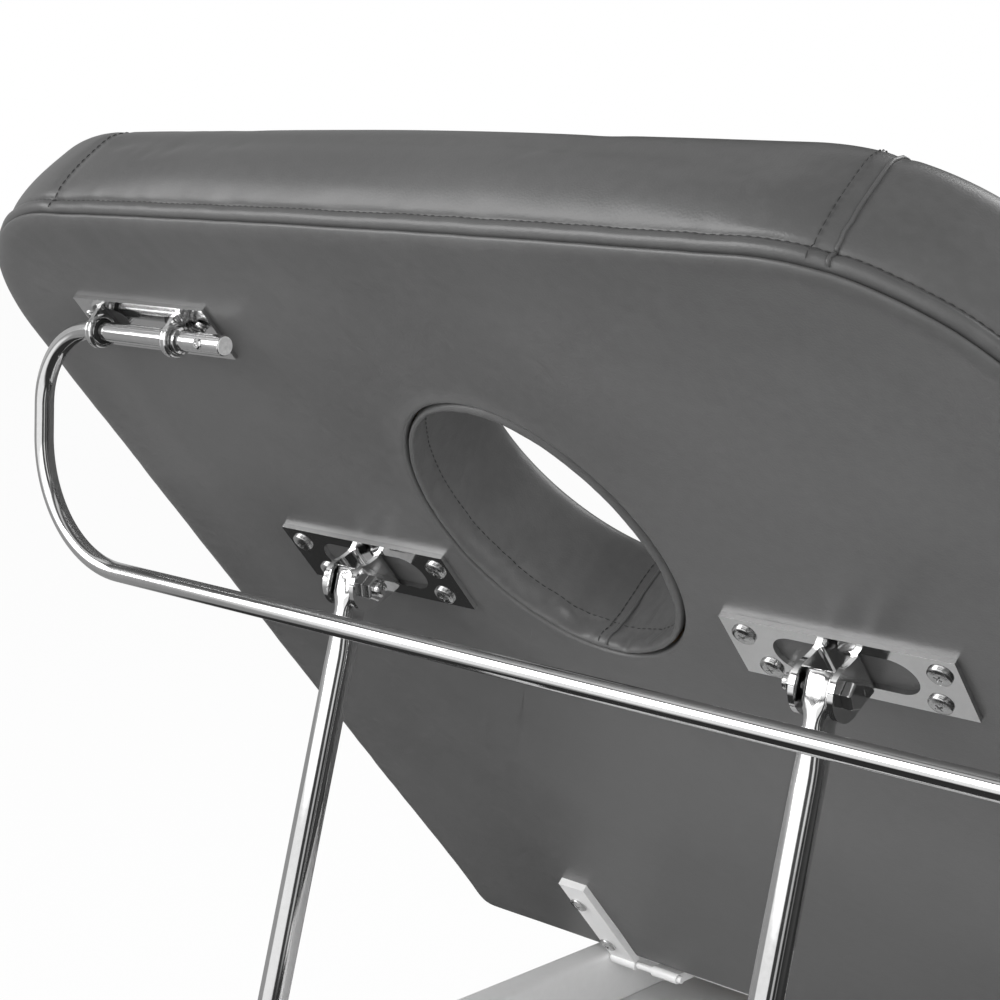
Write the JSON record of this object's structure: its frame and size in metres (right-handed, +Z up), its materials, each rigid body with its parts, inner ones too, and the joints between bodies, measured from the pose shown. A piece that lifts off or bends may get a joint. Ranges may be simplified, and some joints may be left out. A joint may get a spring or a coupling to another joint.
{
  "type": "spa bed with cabinet base",
  "caption": "Spa bed with a tilting backrest, face hole, lift rods and a towel or paper-roll bar, on rails over a storage cabinet with doors and drawers.",
  "frame": {"origin": "centre of the cabinet's plinth on the floor", "axes": "+Z up, +Y from the head end to the foot end, +X to the side with the doors"},
  "size_m": [0.6128, 1.7236, 1.1582],
  "materials": {
    "leatherette": "smooth grey vinyl leatherette, soft sheen",
    "plywood": "birch plywood, bare",
    "white_steel": "white powder coat, satin",
    "chrome": "polished chrome plate",
    "screw_steel": "nickel-plated cross-head screws",
    "cap_plastic": "white moulded plastic",
    "buffer_rubber": "black rubber",
    "knob_plastic": "black moulded plastic",
    "handle_steel": "brushed steel",
    "pivot_steel": "zinc-plated steel",
    "runner_steel": "zinc-plated steel",
    "front_board": "white laminated board",
    "cabinet_board": "white laminated board"
  },
  "bodies": {
    "base": {"body_board": "plywood", "body_cushion": "leatherette", "body_support_bars": "white_steel", "cabinet_back": "cabinet_board", "cabinet_bottom": "cabinet_board", "cabinet_foot_end": "cabinet_board", "cabinet_foot_partition": "cabinet_board", "cabinet_head_end": "cabinet_board", "cabinet_head_partition": "cabinet_board", "cabinet_plinth": "cabinet_board", "cabinet_top": "cabinet_board", "door_pivots": "pivot_steel", "drawer_runners": "runner_steel", "foot_shelf": "cabinet_board", "head_shelf": "cabinet_board", "hinge_cross_tube": "white_steel", "hinge_pins": "chrome", "lift_clevis_left": "white_steel", "lift_clevis_right": "white_steel", "lift_cross_bar": "white_steel", "lift_hanger_left": "white_steel", "lift_hanger_right": "white_steel", "rail_buffers": "buffer_rubber", "rail_end_caps": "cap_plastic", "rail_left": "white_steel", "rail_right": "white_steel"},
    "backrest": {"backrest_back_cover": "leatherette", "backrest_board": "plywood", "backrest_cushion": "leatherette", "backrest_screws": "screw_steel", "face_hole_lining": "leatherette", "hinge_arm_left": "white_steel", "hinge_arm_right": "white_steel", "lift_bolts": "chrome", "lift_bracket_left": "chrome", "lift_bracket_right": "chrome", "towel_bracket": "chrome"},
    "towel_rail": {"towel_bar": "chrome", "towel_bar_collars": "chrome", "towel_bar_end_cap": "cap_plastic", "towel_bar_pin": "chrome"},
    "rod_left": {"lift_rod_left": "chrome"},
    "tube_left": {"lift_tube_left": "chrome", "lift_collar_left": "chrome"},
    "knob_left": {"lock_knob_left": "knob_plastic"},
    "rod_right": {"lift_rod_right": "chrome"},
    "tube_right": {"lift_tube_right": "chrome", "lift_collar_right": "chrome"},
    "knob_right": {"lock_knob_right": "knob_plastic"},
    "door_head": {"door_head": "front_board", "door_head_handle": "handle_steel"},
    "door_foot": {"door_foot": "front_board", "door_foot_handle": "handle_steel"},
    "drawer_lower": {"drawer_lower_box": "cabinet_board", "drawer_lower_front": "front_board", "drawer_lower_handle": "handle_steel"},
    "drawer_upper": {"drawer_upper_box": "cabinet_board", "drawer_upper_front": "front_board", "drawer_upper_handle": "handle_steel"}
  },
  "joints": [
    {"name": "backrest_tilt", "type": "hinge", "parent": "base", "child": "backrest", "pos_m": [0, -0.3254, 0.62065], "axis": [-1, 0, 0], "range_deg": [-45.9, 4]},
    {"name": "towel_swing", "type": "hinge", "parent": "backrest", "child": "towel_rail", "pos_m": [0, -0.74514, 1.05586], "axis": [1, 0, 0], "range_deg": [-90, 35]},
    {"name": "rod_left_turn", "type": "hinge", "parent": "backrest", "child": "rod_left", "pos_m": [-0.1465, -0.63282, 0.92427], "axis": [-1, 0, 0], "range_deg": [-10, 25]},
    {"name": "tube_left_turn", "type": "hinge", "parent": "base", "child": "tube_left", "pos_m": [-0.1465, -0.7348, 0.48252], "axis": [-1, 0, 0], "range_deg": [-25, 10]},
    {"name": "knob_left_turn", "type": "hinge", "parent": "tube_left", "child": "knob_left", "pos_m": [-0.1465, -0.7348, 0.48252], "axis": [0, -0.9744, 0.225], "range_deg": [0, 180]},
    {"name": "rod_right_turn", "type": "hinge", "parent": "backrest", "child": "rod_right", "pos_m": [0.1465, -0.63282, 0.92427], "axis": [-1, 0, 0], "range_deg": [-10, 25]},
    {"name": "tube_right_turn", "type": "hinge", "parent": "base", "child": "tube_right", "pos_m": [0.1465, -0.7348, 0.48252], "axis": [-1, 0, 0], "range_deg": [-25, 10]},
    {"name": "knob_right_turn", "type": "hinge", "parent": "tube_right", "child": "knob_right", "pos_m": [0.1465, -0.7348, 0.48252], "axis": [0, -0.9744, 0.225], "range_deg": [0, 180]},
    {"name": "door_head_swing", "type": "hinge", "parent": "base", "child": "door_head", "pos_m": [0.252, -0.617, 0.0003], "axis": [0, 0, -1], "range_deg": [0, 100]},
    {"name": "door_foot_swing", "type": "hinge", "parent": "base", "child": "door_foot", "pos_m": [0.252, 0.617, 0.0003], "axis": [0, 0, 1], "range_deg": [0, 100]},
    {"name": "drawer_lower_slide", "type": "slide", "parent": "base", "child": "drawer_lower", "axis": [1, 0, 0], "range_m": [0, 0.35]},
    {"name": "drawer_upper_slide", "type": "slide", "parent": "base", "child": "drawer_upper", "axis": [1, 0, 0], "range_m": [0, 0.35]}
  ],
  "couplings": [
    {"joint": "rod_left_turn", "follows": "backrest_tilt", "ratio": -0.5},
    {"joint": "tube_left_turn", "follows": "backrest_tilt", "ratio": 0.5},
    {"joint": "rod_right_turn", "follows": "backrest_tilt", "ratio": -0.5},
    {"joint": "tube_right_turn", "follows": "backrest_tilt", "ratio": 0.5}
  ]
}
